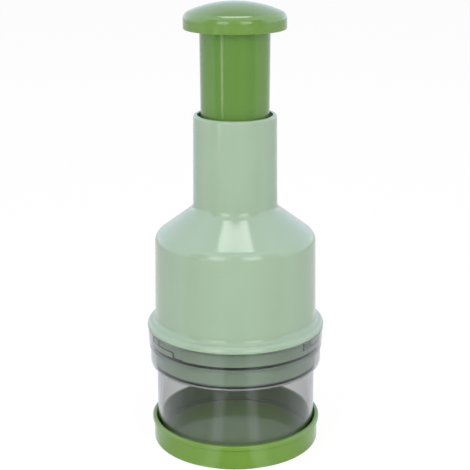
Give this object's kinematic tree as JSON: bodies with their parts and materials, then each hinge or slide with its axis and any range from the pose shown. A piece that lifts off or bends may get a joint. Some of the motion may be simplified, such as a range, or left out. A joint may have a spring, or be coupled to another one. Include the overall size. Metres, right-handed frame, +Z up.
{
  "type": "plunger food chopper",
  "caption": "Hand food chopper: a sprung plunger with a domed knob drives turning zigzag blades through a wiper plate into a clear cup on a push-on base cap.",
  "frame": {"origin": "centre of the circle that the base cap stands on", "axes": "+Z up along the axis of the cup, housing and plunger; -Y towards the side shown in the picture"},
  "size_m": [0.09, 0.09, 0.2257],
  "materials": {
    "green_plastic": "satin moulded plastic, mid green",
    "tube_green": "satin moulded plastic, mid green",
    "knob_green": "glossy moulded plastic, light green",
    "mint_plastic": "glossy moulded plastic, pale mint",
    "smoke_clear": "clear smoked moulded plastic",
    "white_plastic": "satin moulded plastic, white",
    "wiper_white": "satin moulded plastic, white",
    "steel": "turned steel",
    "nut_steel": "turned steel",
    "blade_steel": "brushed stainless steel strip with a ground edge",
    "spring_steel": "drawn spring wire"
  },
  "bodies": {
    "base": {"base_cap": "green_plastic"},
    "cup": {"chopping_cup": "smoke_clear"},
    "housing": {"housing_shell": "mint_plastic", "guide_insert": "white_plastic", "spiral_nut": "nut_steel", "deck_screws": "steel", "lower_spring_washer": "steel", "return_spring": "spring_steel"},
    "plunger": {"plunger_tube": "tube_green", "knob_cap": "knob_green", "upper_spring_washer": "steel"},
    "rotor": {"drive_spindle": "steel", "thrust_washer": "white_plastic", "spindle_washer": "steel", "spindle_screw": "steel", "blade_carrier": "white_plastic", "carrier_pin": "steel", "zigzag_blade_1": "blade_steel", "zigzag_blade_2": "blade_steel", "zigzag_blade_3": "blade_steel", "wiper_springs": "spring_steel"},
    "wiper": {"wiper_plate": "wiper_white"}
  },
  "joints": [
    {"name": "base_pull", "type": "slide", "parent": "base", "child": "cup", "axis": [0, 0, 1], "range_m": [0, 0.03]},
    {"name": "bayonet_turn", "type": "hinge", "parent": "cup", "child": "housing", "pos_m": [0, 0, 0.0625], "axis": [0, 0, 1], "range_deg": [-24, 0]},
    {"name": "plunger_press", "type": "slide", "parent": "housing", "child": "plunger", "axis": [0, 0, -1], "range_m": [0, 0.041], "stiffness_N_per_m": 300, "springref_m": -0.025, "deforming": ["return_spring"]},
    {"name": "blade_turn", "type": "hinge", "parent": "plunger", "child": "rotor", "pos_m": [0, 0, 0.1], "axis": [0, 0, 1], "range_deg": [-60.1, 0]},
    {"name": "wiper_slide", "type": "slide", "parent": "rotor", "child": "wiper", "axis": [0, 0, 1], "range_m": [0, 0.012], "stiffness_N_per_m": 150, "springref_m": -0.006, "deforming": ["wiper_springs"]}
  ],
  "couplings": [
    {"joint": "blade_turn", "follows": "plunger_press", "rad_per_m": -25.541}
  ]
}
